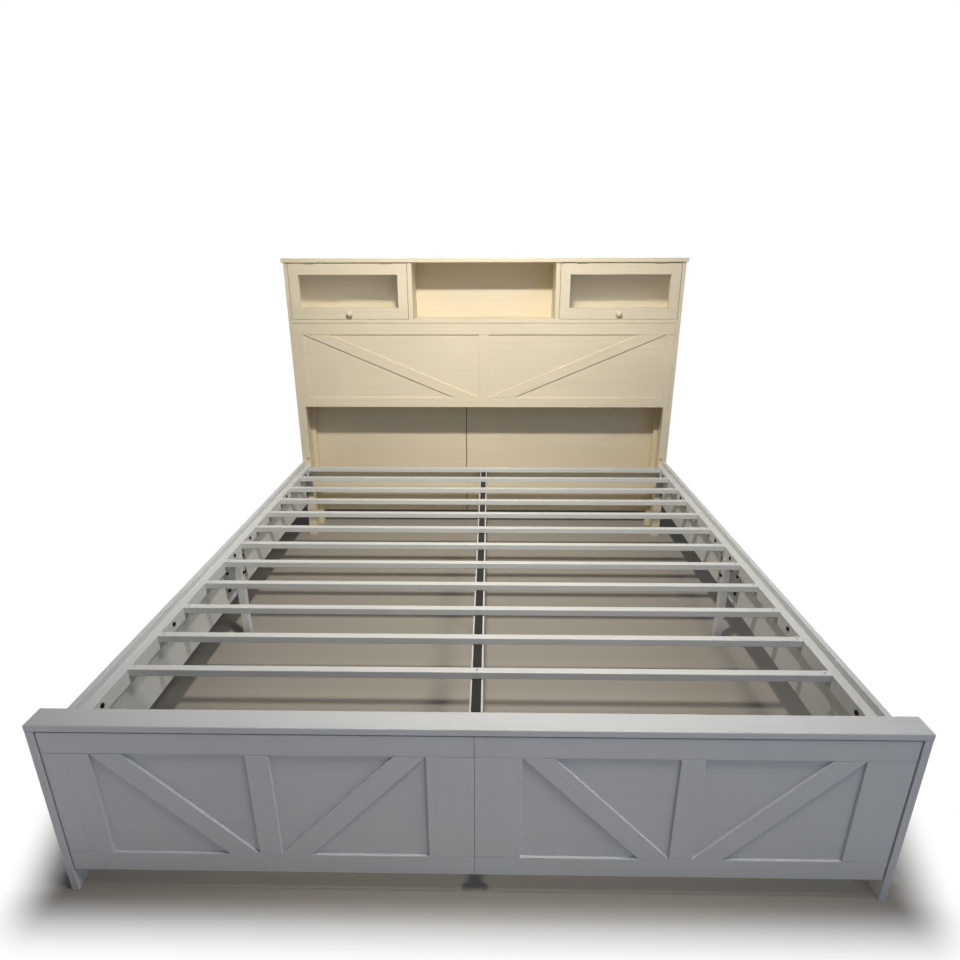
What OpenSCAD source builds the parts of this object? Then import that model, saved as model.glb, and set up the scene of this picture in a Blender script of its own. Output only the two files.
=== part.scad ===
// Bed with a storage headboard: panelled boards, two glazed flip-up doors, two-piece rails, steel slats.
// The origin lies on the floor under the middle of the bed. +X is right, +Y runs from foot to head, +Z is up.

/* [Overall] */
// Width over the side boards of the headboard and the foot
bed_w = 1985; // [1600:5:2100]
// From the front face of the foot to the front face of the headboard
deck_l = 2116; // [1980:2:2240]
// Depth of the headboard
head_d = 200; // [185:5:260]
// Height of the headboard under its top board
head_h = 1464; // [1380:2:1560]
// Height of the foot over its cap
foot_h = 498; // [470:2:560]

/* [Boards] */
// Thickness of the side boards, the cabinet floor and the cap
board_t = 18; // [15:1:20]
// Thickness of the thin back boards
thin_t = 9; // [6:1:12]
// Thickness of the board behind the applied strips
backer_t = 12; // [9:1:15]
// Thickness of the applied strips
strip_t = 6; // [4:0.5:8]
// Width of a diagonal strip
diagonal_w = 52; // [30:1:70]
// Radius of the eased edges
ease_r = 1.2; // [0.5:0.1:2]
// Hairline left between neighbouring strips
hairline = 0.4; // [0.2:0.1:1]

/* [Headboard cabinet] */
// Clear height between the cabinet floor and the top board
cabinet_h = 272; // [260:2:340]
// Clear width of the open cubby in the middle
cubby_w = 715; // [500:5:800]
// Thickness of the two dividers
divider_t = 22; // [15:1:25]
// Thickness of the top board
top_t = 20; // [16:1:30]
// How far the top board stands out in front and at the ends
top_lip = 8; // [7:1:15]
// Length of the cable slot in the cubby floor
slot_l = 190; // [80:5:240]
// Width of the cable slot
slot_w = 30; // [20:1:45]
// Middle of the cable slot behind the front face
slot_back = 105; // [70:1:120]
// Wall of the slot's plastic grommet
grommet_wall = 1.6; // [1:0.1:3]
// Flange of the grommet, over the floor
grommet_lip = 5; // [3:0.5:8]

/* [Doors] */
// Thickness of a door
door_t = 18; // [15:1:20]
// How far the doors stand back behind the side boards
door_inset = 1; // [0:0.5:2]
// Gap beside and under a door
door_gap = 2; // [1.5:0.5:4]
// Gap over a door, which holds the hinge leaves
door_top_gap = 4; // [3.5:0.5:6]
// Width of the upright members of a door
door_stile = 48; // [44:1:65]
// Width of the level members of a door
door_rail = 53; // [40:1:65]
// Depth of the rebate that holds the glass
rebate_w = 8; // [5:1:12]
// Width of the fine groove at the glued joints of a door
joint_groove = 0.8; // [0.4:0.1:1.5]
// Thickness of the glass
glass_t = 4; // [3:0.5:5]
// Diameter of a knob
knob_d = 32; // [20:1:36]
// How far a knob stands out
knob_out = 26; // [18:1:32]

/* [Door hinges and stays] */
// How far a door opens, in degrees
door_open = 80; // [60:1:82]
// Length of a hinge
hinge_l = 51; // [36:3:75]
// From a door's end to the middle of its hinge
hinge_in = 106; // [60:1:110]
// Thickness of a hinge leaf
leaf_t = 1.2; // [0.8:0.1:1.4]
// Radius of a hinge knuckle
knuckle_r = 2.5; // [2:0.1:3]
// Radius of a hinge pin
pin_r = 1.3; // [1:0.1:1.5]
// Radial running clearance of pins in hinges and stay eyes
run_fit = 0.06; // [0.03:0.01:0.1]
// How far the stay's pivot on the door lies below the hinge axis
stay_drop = 140; // [130:1:150]
// How far that pivot stands behind the door
stay_stand = 13; // [12:0.5:15]
// How far the stay's pivot in the cabinet lies below the hinge axis
stay_top = 26; // [25:0.5:32]
// Outer radius of the stay's cylinder
stay_r = 6; // [5.5:0.1:6.5]
// Radius of the stay's rod
rod_r = 2.5; // [2:0.1:3]
// Middle of the stay beside the divider
stay_side = 15; // [13:0.5:20]

/* [Headboard panel and niche] */
// Height of the panel's lower edge over the floor
panel_z = 740; // [700:2:800]
// How far the strips stand back behind the side boards
panel_inset = 3; // [1:0.5:6]
// Width of the panel's top strip
panel_top_w = 58; // [30:1:80]
// Width of the panel's bottom strip
panel_low_w = 52; // [30:1:80]
// Width of the panel's upright strips
panel_stile = 50; // [30:1:80]
// Width and depth of the posts in the niche
post_w = 25; // [20:1:32]
// Height of the back boards' lower edge over the floor
back_z = 80; // [40:5:160]
// Seam of the back boards, to the left of the middle
seam_x = 100; // [0:5:200]
// Gap between the two back boards
back_gap = 5; // [1:0.5:8]
// Width of the batten behind that gap
batten_w = 80; // [50:5:120]

/* [Foot] */
// Depth of the foot
foot_d = 57; // [50:1:80]
// Thickness of the foot's cap
cap_t = 18; // [15:1:25]
// Shadow gap round the foot's panels
foot_gap = 3; // [1:0.5:5]
// How far the foot's strips stand back behind its side boards
foot_inset = 2; // [0:0.5:4]
// Height of the foot panels' lower edge over the floor
foot_clear = 66; // [40:1:90]
// Width of the upright strips at both ends of a foot panel
foot_stile = 107; // [70:1:130]
// Width of the upright strip in the middle of a foot panel
foot_mid_stile = 54; // [40:1:80]
// Width of the level strips of a foot panel
foot_rail_w = 57; // [40:1:80]
// How far the cross rails reach below the centre beam
cross_under = 40; // [30:2:60]

/* [Side rails] */
// Height of the rails' upper edge over the floor
rail_z = 436; // [425:1:445]
// Height of a rail
rail_h = 230; // [200:2:250]
// Thickness of a rail
rail_t = 16; // [15:1:24]
// Width of the ledge along a rail
ledge_w = 28; // [16:1:32]
// Height of the ledge
ledge_h = 45; // [42:1:60]
// How far the ledge lies below the rail's upper edge
ledge_drop = 20; // [10:1:30]
// Distance of the end bolts from the foot
end_bolt = 129; // [110:1:160]
// Side of a mid leg
mid_leg_w = 28; // [22:1:34]
// Thickness of the steel brackets and plates
steel_t = 3; // [2:0.5:4]

/* [Slats] */
// Number of slats
slat_n = 12; // [10:1:14]
// Side of a slat's square tube
slat_w = 22; // [20:1:30]
// Wall of the square tubes of the slats and the beam legs
tube_wall = 1.5; // [1:0.1:2.5]
// From the foot to the middle of the first slat
slat_foot = 263; // [200:1:300]
// From the middle of the last slat to the headboard
slat_head = 41; // [35:1:80]
// Clearance at each end of a slat
slat_play = 0.5; // [0.3:0.1:2]

/* [Centre beam] */
// Width of the beam
beam_w = 34; // [30:1:50]
// Height of the beam
beam_h = 60; // [45:1:70]
// Width of the tape on the beam
tape_w = 25; // [15:1:30]
// Thickness of the tape
tape_t = 2; // [1:0.5:3]
// Side of a beam leg's square tube
leg_w = 25; // [20:1:30]
// Number of beam legs
leg_n = 3; // [2:1:5]
// From the foot to the first beam leg, and from the last one to the headboard
leg_end = 340; // [200:5:450]
// Height of a leg's plastic foot under the tube
foot_pad = 6; // [4:1:12]

/* [Hidden] */
$fn = 32;

// Finishes: cream and white paint, plated and painted steel, black plastic, clear glass
cream = [0.93, 0.90, 0.82];
white = [0.90, 0.90, 0.88];
steel_white = [0.86, 0.87, 0.86];
zinc = [0.72, 0.73, 0.74];
black = [0.12, 0.12, 0.11];
clear = [0.75, 0.80, 0.80, 0.4];

// Main planes of the bed
half_w = bed_w / 2;
foot_y = -(deck_l + head_d) / 2;
head_y = foot_y + deck_l;
back_y = head_y + head_d;
foot_in = foot_y + foot_d;
mid_y = (foot_in + head_y) / 2;
in_x = half_w - board_t;
post_x = in_x - post_w;

// Heights of the cabinet and the deck
floor_z = head_h - cabinet_h;
floor_low = floor_z - board_t;
deck_z = rail_z - ledge_drop;
slat_low = deck_z - slat_w;
beam_z = slat_low - tape_t;
beam_low = beam_z - beam_h;
rail_low = rail_z - rail_h;
ledge_low = deck_z - ledge_h;
cap_low = foot_h - cap_t;

// The side rails across the bed
rail_in = half_w - rail_t;
ledge_in = rail_in - ledge_w;

// The door bays
bay_x = cubby_w / 2 + divider_t;
door_x = bay_x + door_gap;
door_w = in_x - door_gap - door_x;
door_mid = door_x + door_w / 2;
door_low = floor_z + door_gap;
door_top = head_h - door_top_gap;
door_h = door_top - door_low;
door_y = head_y + door_inset;
knob_z = door_low + door_rail / 2;
bead_t = 4;
bead_step = 2;
glass_play = 0.5;
lip_t = door_t - glass_t - bead_t;

// The knob: a base and a neck, a thick rounded rim and a low dome
knob_base_r = 7;
knob_base_h = 2;
knob_neck_r = 5;
knob_rim = 3;
knob_head_t = 12;
knob_bore = 8;

// The hinge axis lies in front of the door, under the lip of the top board
knuckle_air = 0.3;
axis_y = door_y - knuckle_r - knuckle_air;
axis_z = head_h - knuckle_r - knuckle_air;
knuckle_l = hinge_l / 3;
knuckle_gap = 0.25;
leaf_front = door_y + 0.2;
leaf_back = door_y + door_t - 3.6;

// The stay's two pivots lie at one distance from the hinge axis.
// Both of its ends therefore turn by half the door's turn.
pivot_y = door_y + door_t + stay_stand;
pivot_z = axis_z - stay_drop;
arm = sqrt(pow(pivot_y - axis_y, 2) + pow(stay_drop, 2));
anchor_y = axis_y + sqrt(arm * arm - stay_top * stay_top);
anchor_z = axis_z - stay_top;
shut_angle = atan2(anchor_y - axis_y, stay_top) - atan2(pivot_y - axis_y, stay_drop);
stay_shut = 2 * arm * sin(shut_angle / 2);
stay_long = 2 * arm * sin((shut_angle + door_open) / 2);
stay_slope = atan2(anchor_z - pivot_z, anchor_y - pivot_y);
stay_x = bay_x + stay_side;
eye_r = 6;
eye_w = 6;
eye_pin = 3;
eye_air = 0.4;
pin_head_r = 4.6;
pin_head_t = 1.6;
shoulder_r = 5;
neck_r = 2.5;
neck_l = 8;
plug_l = 13;
piston_l = 4;
piston_air = 2;
stop_air = 0.5;
guide_t = 3;
bore_wall = 1.4;
rod_air = 0.15;
rod_l = stay_shut - plug_l - piston_air;
guide_at = stay_long - rod_l + piston_l + stop_air;
tube_end = guide_at + guide_t;
stay_plate_t = 2;
stay_plate_h = 32;
cabinet_plate_w = 18;
cabinet_plate_up = 10;
door_plate_w = 22;
door_ear_r = 7;
stay_ear_x = stay_x - eye_w / 2 - eye_air - stay_plate_t;

// Small countersunk screws of the hinge leaves and of the stays' brackets
small_screw_r = 1.5;
small_screw_l = 12;
small_air = 0.15;
small_tip = 0.3;
hinge_screw_in = 8.5;
hinge_screws_at = [hinge_screw_in, hinge_l - hinge_screw_in];
hinge_screw_y = (leaf_front + leaf_back) / 2;
cabinet_plate_screws = [anchor_z - 10.5, anchor_z - 17.5];
door_plate_screw_x = stay_ear_x + 16;
door_plate_screws = [pivot_z - 10, pivot_z + 10];

// Fasteners
bolt_r = 4;
bolt_head_r = 7;
bolt_head_h = 4;
screw_r = 2.5;
screw_head_r = 4.5;
screw_head_h = 2;
screw_sink = screw_head_r - screw_r;
screw_l = 14;
hole_air = 0.25;

// The foot's panels, and the board that closes the seam between them
foot_panel_w = in_x - foot_gap - hairline;
foot_panel_h = cap_low - foot_gap - foot_clear;
foot_frame_y = foot_y + foot_inset + strip_t + backer_t;
seam_board_w = 60;

// Steel at the rails: corner brackets, joint plates, and the places of their bolts
plate_z = rail_low + 28;
plate_h = ledge_low - 8 - plate_z;
plate_l = 200;
plate_bolt_in = 22;
corner_leg = 50;
corner_bolt_in = 14;
bolt_edge = 28;
corner_bolt_x = post_x + 11;
corner_bolt_z = [plate_z + bolt_edge, plate_z + plate_h - bolt_edge];
post_bolt_z = rail_z + 18;
rail_skin = 6;
rail_bolt_reach = rail_t - rail_skin;
rail_hole_more = 1.5;
ledge_bolt_z = deck_z - 18;
mid_leg_x = rail_in - steel_t - mid_leg_w;
mid_leg_bolt_z = plate_z + plate_h / 2;

// The centre beam between its two hangers
beam_foot_y = foot_frame_y + board_t + steel_t;
beam_head_y = head_y - steel_t;
cross_low = beam_low - cross_under;
hanger_wing = 10;
hanger_seat = 40;
hanger_short = 6;
hanger_screw_x = beam_w / 2 + hanger_wing / 2 + 0.5;
hanger_screw_z = [beam_low + 12, beam_low + beam_h - 22];
leg_plate_l = 70;
leg_screw_in = 8;
leg_plug_h = 15;
leg_plug_play = 0.2;
leg_corner_r = 2;

// Slats and the angles under their ends
slat_half = ledge_in - slat_play;
slat_corner_r = 2;
slat_bracket_t = 2;
slat_bracket_l = 26;
slat_screw_in = 13;
slat_screws_at = [-slat_half + slat_screw_in, slat_half - slat_screw_in];
bracket_screw_z = (ledge_low + slat_low) / 2;

slat_step = (head_y - slat_head - foot_in - slat_foot) / (slat_n - 1);
leg_step = (head_y - foot_in - 2 * leg_end) / (leg_n - 1);
function slat_y(i) = foot_in + slat_foot + i * slat_step;
function leg_y(i) = foot_in + leg_end + i * leg_step;

// The two end slats are also screwed to the centre beam
tied_slats = [slat_y(0), slat_y(slat_n - 1)];

// A steel plate lies under the beam at each leg, and under its joint where no leg stands there
leg_places = [for (i = [0 : leg_n - 1]) leg_y(i)];
beam_plates = leg_n % 2 == 0 ? concat(leg_places, [mid_y]) : leg_places;

// Most ledge bolts sit midway between two slats. Two of them flank the rails' joint.
joint_at = (mid_y - slat_y(0)) / slat_step;
joint_air = 0.2;
ledge_bolts = [
    foot_in + end_bolt,
    slat_y(1.5),
    slat_y(floor(joint_at - joint_air - 0.5) + 0.5),
    slat_y(ceil(joint_at + joint_air - 0.5) + 0.5),
    slat_y(slat_n - 3.5),
    slat_y(slat_n - 1.5)
];

// Places of the bolts that go through steel into a rail, as Y and Z
plate_bolts = concat(
    [for (y = [-1, 1], z = corner_bolt_z) [mid_y + y * (plate_l / 2 - plate_bolt_in), z]],
    [for (z = corner_bolt_z) [foot_in + corner_leg - corner_bolt_in, z]],
    [for (z = corner_bolt_z) [head_y - corner_leg + corner_bolt_in, z]]
);

// General shapes
module on_side(side) {
    mirror([side < 0 ? 1 : 0, 0, 0]) children();
}

module both_sides() {
    for (side = [-1, 1]) on_side(side) children();
}

module rounded(w, d, r) {
    translate([r, 0]) square([w - 2 * r, d]);
    translate([0, r]) square([w, d - 2 * r]);
    for (x = [r, w - r], y = [r, d - r]) translate([x, y]) circle(r);
}

module slot_shape(l, w) {
    translate([-(l - w) / 2, -w / 2]) square([l - w, w]);
    for (x = [-1, 1]) translate([x * (l - w) / 2, 0]) circle(w / 2);
}

// A board with its four long edges eased: along X, along Y, or upright
module board_x(size, r = ease_r) {
    rotate([90, 0, 90]) linear_extrude(size[0]) rounded(size[1], size[2], r);
}

module board_y(size, r = ease_r) {
    translate([0, size[1], 0]) rotate([90, 0, 0]) linear_extrude(size[1]) rounded(size[0], size[2], r);
}

module board_z(size, r = ease_r) {
    linear_extrude(size[2]) rounded(size[0], size[1], r);
}

// Cylinders that lie along X or Y
module rod_x(r, l) {
    rotate([0, 90, 0]) cylinder(r = r, h = l);
}

module rod_y(r, l) {
    rotate([-90, 0, 0]) cylinder(r = r, h = l);
}

// Angle of a diagonal strip that runs from one corner of an opening to the other, flush with both
function lean(w, h) = atan2(h, w) + asin(diagonal_w / sqrt(w * w + h * h));

// A diagonal strip in an opening w by h. It falls to the right.
module diagonal(w, h) {
    over = diagonal_w;
    a = lean(w, h);
    intersection() {
        translate([hairline, 0, hairline]) cube([w - 2 * hairline, strip_t, h - 2 * hairline]);
        translate([0, 0, h]) rotate([0, a, 0]) translate([-over, 0, 0])
            board_x([sqrt(w * w + h * h) + 2 * over, strip_t, diagonal_w]);
    }
}

// A frame of strips: two level ones that run through, uprights between them, and one diagonal in each opening
module strip_frame(w, h, low_w, top_w, stiles, falls) {
    open_h = h - low_w - top_w;
    for (z = [[0, low_w], [h - top_w, top_w]]) translate([0, 0, z[0]]) board_x([w, strip_t, z[1]]);
    for (s = stiles) translate([s[0], 0, low_w + hairline]) board_z([s[1], strip_t, open_h - 2 * hairline]);
    for (i = [0 : len(stiles) - 2]) {
        x0 = stiles[i][0] + stiles[i][1];
        open_w = stiles[i + 1][0] - x0;
        translate([falls[i] > 0 ? x0 : x0 + open_w, 0, low_w])
            mirror([falls[i] > 0 ? 0 : 1, 0, 0]) diagonal(open_w, open_h);
    }
}

// The headboard
module head_side(side) {
    color(cream) on_side(side) translate([in_x, head_y, 0]) board_z([board_t, head_d, head_h]);
}

module head_top_board() {
    w = bed_w + 2 * top_lip;
    d = head_d + top_lip;
    color(cream) difference() {
        translate([-w / 2, head_y - top_lip, head_h]) intersection() {
            board_x([w, d, top_t], 2 * ease_r);
            board_y([w, d, top_t], 2 * ease_r);
        }
        both_sides() hinge_places() for (x = hinge_screws_at) translate([x, hinge_screw_y, head_h - 1])
            cylinder(r = small_screw_r + small_air, h = small_screw_l + 1);
    }
}

module cabinet_floor() {
    color(cream) difference() {
        translate([-in_x, head_y, floor_low]) board_x([2 * in_x, head_d - thin_t, board_t]);
        translate([0, head_y + slot_back, floor_low - 1])
            linear_extrude(board_t + 2) slot_shape(slot_l, slot_w);
    }
}

module cabinet_dividers() {
    color(cream) both_sides() difference() {
        translate([cubby_w / 2, head_y, floor_z]) board_z([divider_t, head_d - thin_t, cabinet_h]);
        for (z = cabinet_plate_screws) translate([bay_x - small_screw_l, anchor_y, z])
            rod_x(small_screw_r + small_air, small_screw_l + 1);
    }
}

module cabinet_back() {
    color(cream) translate([-in_x, back_y - thin_t, floor_low])
        cube([2 * in_x, thin_t, cabinet_h + board_t]);
}

module cable_grommet() {
    sleeve = 2 * hole_air;
    inner = 2 * grommet_wall + sleeve;
    color(white) translate([0, head_y + slot_back, 0]) difference() {
        union() {
            translate([0, 0, floor_low])
                linear_extrude(board_t + 1) slot_shape(slot_l - sleeve, slot_w - sleeve);
            translate([0, 0, floor_z]) linear_extrude(grommet_wall)
                slot_shape(slot_l + 2 * grommet_lip, slot_w + 2 * grommet_lip);
        }
        translate([0, 0, floor_low - 1]) linear_extrude(board_t + grommet_wall + 2)
            slot_shape(slot_l - inner, slot_w - inner);
    }
}

module head_panel_board() {
    color(cream) translate([-in_x, head_y + panel_inset + strip_t, panel_z])
        cube([2 * in_x, backer_t, floor_low - panel_z]);
}

module head_panel_trim() {
    w = 2 * in_x;
    stiles = [[0, panel_stile], [(w - panel_stile) / 2, panel_stile], [w - panel_stile, panel_stile]];
    color(cream) translate([-in_x, head_y + panel_inset, panel_z])
        strip_frame(w, floor_low - panel_z, panel_low_w, panel_top_w, stiles, [1, -1]);
}

// A front post carries the panel and the rail's bolts, a back post carries the cabinet floor
module head_posts() {
    color(cream) both_sides() {
        difference() {
            translate([post_x, head_y, 0]) board_z([post_w, post_w, panel_z]);
            for (z = concat(corner_bolt_z, [post_bolt_z]))
                translate([corner_bolt_x, head_y - 1, z]) rod_y(bolt_r + hole_air, post_w + 2);
        }
        translate([post_x, back_y - 2 * thin_t - post_w, 0]) board_z([post_w, post_w, floor_low]);
    }
}

// Holes for a hanger's screws, from a face of a cross rail into its wood
module hanger_holes(y, away) {
    for (x = [-hanger_screw_x, hanger_screw_x], z = hanger_screw_z)
        translate([x, away > 0 ? y - 1 : y - screw_l, z]) rod_y(screw_r + hole_air, screw_l + 1);
}

module head_cross_rail() {
    color(cream) difference() {
        translate([-post_x, head_y, cross_low]) board_x([2 * post_x, board_t, beam_z - cross_low]);
        hanger_holes(head_y, 1);
    }
}

module back_board(x0, x1) {
    color(cream) translate([x0, back_y - 2 * thin_t, back_z]) cube([x1 - x0, thin_t, floor_low - back_z]);
}

module back_panel_left() {
    back_board(-in_x, -seam_x - back_gap / 2);
}

module back_panel_right() {
    back_board(-seam_x + back_gap / 2, in_x);
}

module back_seam_batten() {
    color(cream) translate([-seam_x - batten_w / 2, back_y - thin_t, back_z])
        cube([batten_w, thin_t, floor_low - back_z]);
}

// The doors. Each is modelled on the right side.
module window(grow, y0, depth) {
    translate([door_x + door_stile - grow, y0, door_low + door_rail - grow])
        cube([door_w - 2 * (door_stile - grow), depth, door_h - 2 * (door_rail - grow)]);
}

// The door's level members run through. A V groove along X marks the joint of each with an upright.
module joint_grooves() {
    g = joint_groove;
    for (x = [door_x - 1, door_x + door_w - door_stile], z = [door_low + door_rail, door_top - door_rail])
        translate([x, door_y, z]) rotate([0, 90, 0]) linear_extrude(door_stile + 1)
            polygon([[-g, -g / 2], [g, -g / 2], [0, g / 2]]);
}

module door_frame(side) {
    color(cream) on_side(side) difference() {
        translate([door_x, door_y, door_low]) intersection() {
            board_x([door_w, door_t, door_h]);
            board_z([door_w, door_t, door_h]);
        }
        window(0, door_y - 1, door_t + 2);
        window(rebate_w, door_y + lip_t, door_t);
        joint_grooves();
        translate([door_mid, door_y - 1, knob_z]) rod_y(screw_r + hole_air, door_t + 2);
        hinge_places() for (x = hinge_screws_at) translate([x, hinge_screw_y, door_top - small_screw_l])
            cylinder(r = small_screw_r + small_air, h = small_screw_l + 1);
        for (z = door_plate_screws) translate([door_plate_screw_x, door_y + door_t - small_screw_l, z])
            rod_y(small_screw_r + small_air, small_screw_l + 1);
    }
}

module door_glass(side) {
    color(clear) on_side(side) window(rebate_w - glass_play, door_y + lip_t, glass_t);
}

module door_bead(side) {
    color(cream) on_side(side) difference() {
        window(rebate_w, door_y + lip_t + glass_t, bead_t);
        window(-bead_step, door_y + lip_t, door_t);
    }
}

// A turned knob on the bottom rail, with the screw that holds it
module knob_profile(r) {
    head_z = knob_out - knob_head_t;
    dome_r = (r * r + knob_head_t * knob_head_t) / (2 * knob_head_t);
    square([knob_base_r, knob_base_h]);
    square([knob_neck_r, head_z + 1]);
    intersection() {
        translate([0, knob_out - dome_r]) circle(dome_r, $fn = 64);
        translate([0, head_z]) square([r, knob_head_t]);
    }
    intersection() {
        translate([r - knob_rim - 0.5, head_z]) circle(knob_rim);
        square([r, knob_out]);
    }
    translate([0, head_z - knob_rim / 2]) square([r - knob_rim, knob_rim]);
}

module door_knob(side) {
    color(cream) on_side(side) translate([door_mid, door_y, knob_z]) {
        rotate([90, 0, 0]) difference() {
            rotate_extrude() knob_profile(knob_d / 2);
            translate([0, 0, -1]) cylinder(r = screw_r + hole_air / 2, h = knob_bore + 1);
        }
        translate([0, door_t, 0]) rod_y(screw_head_r, screw_head_h);
        translate([0, 0.5 - knob_bore, 0]) rod_y(screw_r, door_t + knob_bore);
    }
}

// Butt hinges: the outer knuckles belong to the cabinet's leaf and the middle one to the door's
module hinge_places() {
    for (x = [door_x + hinge_in, door_x + door_w - hinge_in]) translate([x - hinge_l / 2, 0, 0]) children();
}

// A small countersunk screw that points down from a plate of thickness t, whose upper face is at zero
module small_screw(t) {
    translate([0, 0, -t]) cylinder(r1 = small_screw_r, r2 = small_screw_r + t, h = t);
    translate([0, 0, small_tip - small_screw_l]) cylinder(r = small_screw_r, h = small_screw_l - small_tip);
}

module small_screw_hole(t) {
    r = small_screw_r + small_air;
    translate([0, 0, -t]) cylinder(r1 = r, r2 = r + t + 1, h = t + 1);
    translate([0, 0, -t - 1]) cylinder(r = r, h = t + 1);
}

module knuckle(x0, l) {
    translate([x0, axis_y, axis_z]) rod_x(knuckle_r, l);
}

module knuckle_bore() {
    translate([-1, axis_y, axis_z]) rod_x(pin_r + run_fit, hinge_l + 2);
}

module hinge_door_leaf() {
    middle = knuckle_l + knuckle_gap;
    width = knuckle_l - 2 * knuckle_gap;
    difference() {
        union() {
            knuckle(middle, width);
            translate([middle, axis_y, door_top]) cube([width, leaf_front - axis_y + 1, leaf_t]);
            translate([0, leaf_front, door_top]) cube([hinge_l, leaf_back - leaf_front, leaf_t]);
        }
        knuckle_bore();
        for (x = hinge_screws_at) translate([x, hinge_screw_y, door_top + leaf_t]) small_screw_hole(leaf_t);
    }
    for (x = hinge_screws_at) translate([x, hinge_screw_y, door_top + leaf_t]) small_screw(leaf_t);
}

module hinge_cabinet_leaf() {
    difference() {
        union() {
            for (x = [0, 2 * knuckle_l]) {
                knuckle(x, knuckle_l);
                translate([x, axis_y, head_h - leaf_t]) cube([knuckle_l, leaf_front - axis_y + 1, leaf_t]);
                translate([x, axis_y + knuckle_r / 2, axis_z])
                    cube([knuckle_l, knuckle_r / 2, head_h - axis_z]);
            }
            translate([0, leaf_front, head_h - leaf_t]) cube([hinge_l, leaf_back - leaf_front, leaf_t]);
        }
        knuckle_bore();
        for (x = hinge_screws_at) translate([x, hinge_screw_y, head_h - leaf_t])
            rotate([180, 0, 0]) small_screw_hole(leaf_t);
    }
    for (x = hinge_screws_at)
        translate([x, hinge_screw_y, head_h - leaf_t]) rotate([180, 0, 0]) small_screw(leaf_t);
}

module door_hinge_leaves(side) {
    color(zinc) on_side(side) hinge_places() hinge_door_leaf();
}

module cabinet_hinge_leaves() {
    color(zinc) both_sides() hinge_places() hinge_cabinet_leaf();
}

module hinge_pins() {
    color(zinc) both_sides() hinge_places() translate([0, axis_y, axis_z]) rod_x(pin_r, hinge_l);
}

// Gas stays: a cylinder on the divider and a rod on the door, both on the line between the two pivots
module on_stay_line() {
    translate([stay_x, anchor_y, anchor_z]) rotate([90 + stay_slope, 0, 0]) children();
}

module eye(outer) {
    rotate([0, 90, 0]) translate([0, 0, -eye_w / 2]) cylinder(r = outer, h = eye_w);
}

module eye_bore() {
    rotate([0, 90, 0]) translate([0, 0, -eye_w]) cylinder(r = eye_pin + run_fit, h = 2 * eye_w);
}

module stay_cylinder(side) {
    color(black) on_side(side) on_stay_line() difference() {
        union() {
            eye(eye_r);
            cylinder(r = neck_r, h = plug_l);
            translate([0, 0, neck_l]) cylinder(r = stay_r, h = tube_end - neck_l);
        }
        eye_bore();
        translate([0, 0, plug_l]) cylinder(r = stay_r - bore_wall, h = guide_at - plug_l);
        translate([0, 0, guide_at - 1]) cylinder(r = rod_r + rod_air, h = guide_t + 2);
    }
}

module stay_rod(side) {
    tip = stay_shut - rod_l;
    color(zinc) on_side(side) on_stay_line() difference() {
        union() {
            translate([0, 0, tip]) cylinder(r = rod_r, h = rod_l);
            translate([0, 0, tip]) cylinder(r = stay_r - bore_wall - rod_air, h = piston_l);
            translate([0, 0, stay_shut]) eye(eye_r);
        }
        translate([0, 0, stay_shut]) eye_bore();
    }
}

// A bracket's pin runs along X through the stay's eye and ends in a flat head
module stay_pin(y, z, x0) {
    x1 = stay_x + eye_w / 2 + eye_air;
    translate([x0, y, z]) rod_x(eye_pin, x1 - x0 + pin_head_t / 2);
    translate([x1, y, z]) rod_x(pin_head_r, pin_head_t);
}

// Places of a bracket's screws, each turned so that its own Z points out of the plate
module cabinet_plate_places() {
    for (z = cabinet_plate_screws)
        translate([bay_x + stay_plate_t, anchor_y, z]) rotate([0, 90, 0]) children();
}

module door_plate_places() {
    for (z = door_plate_screws)
        translate([door_plate_screw_x, door_y + door_t + stay_plate_t, z]) rotate([-90, 0, 0]) children();
}

module stay_cabinet_brackets() {
    low = anchor_z + cabinet_plate_up - stay_plate_h;
    color(zinc) both_sides() {
        difference() {
            translate([bay_x, anchor_y - cabinet_plate_w / 2, low])
                cube([stay_plate_t, cabinet_plate_w, stay_plate_h]);
            cabinet_plate_places() small_screw_hole(stay_plate_t);
        }
        translate([bay_x, anchor_y, anchor_z]) rod_x(shoulder_r, stay_side - eye_w / 2 - eye_air);
        stay_pin(anchor_y, anchor_z, bay_x + stay_plate_t);
        cabinet_plate_places() small_screw(stay_plate_t);
    }
}

module door_stay_bracket(side) {
    low = pivot_z - stay_plate_h / 2;
    face_y = door_y + door_t;
    color(zinc) on_side(side) {
        difference() {
            translate([stay_ear_x, face_y, low]) cube([door_plate_w, stay_plate_t, stay_plate_h]);
            door_plate_places() small_screw_hole(stay_plate_t);
        }
        translate([stay_ear_x, face_y, pivot_z - door_ear_r])
            cube([stay_plate_t, stay_stand, 2 * door_ear_r]);
        translate([stay_ear_x, pivot_y, pivot_z]) rod_x(door_ear_r, stay_plate_t);
        stay_pin(pivot_y, pivot_z, stay_ear_x + stay_plate_t / 2);
        door_plate_places() small_screw(stay_plate_t);
    }
}

// The foot
module foot_side(side) {
    color(white) on_side(side) translate([in_x, foot_y, 0]) board_z([board_t, foot_d, cap_low]);
}

module foot_cap() {
    color(white) translate([-half_w, foot_y, cap_low]) intersection() {
        board_x([bed_w, foot_d, cap_t], 2 * ease_r);
        board_y([bed_w, foot_d, cap_t], 2 * ease_r);
    }
}

module foot_panel(side) {
    color(white) on_side(side) translate([hairline, foot_y + foot_inset + strip_t, foot_clear])
        cube([foot_panel_w, backer_t, foot_panel_h]);
}

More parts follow.
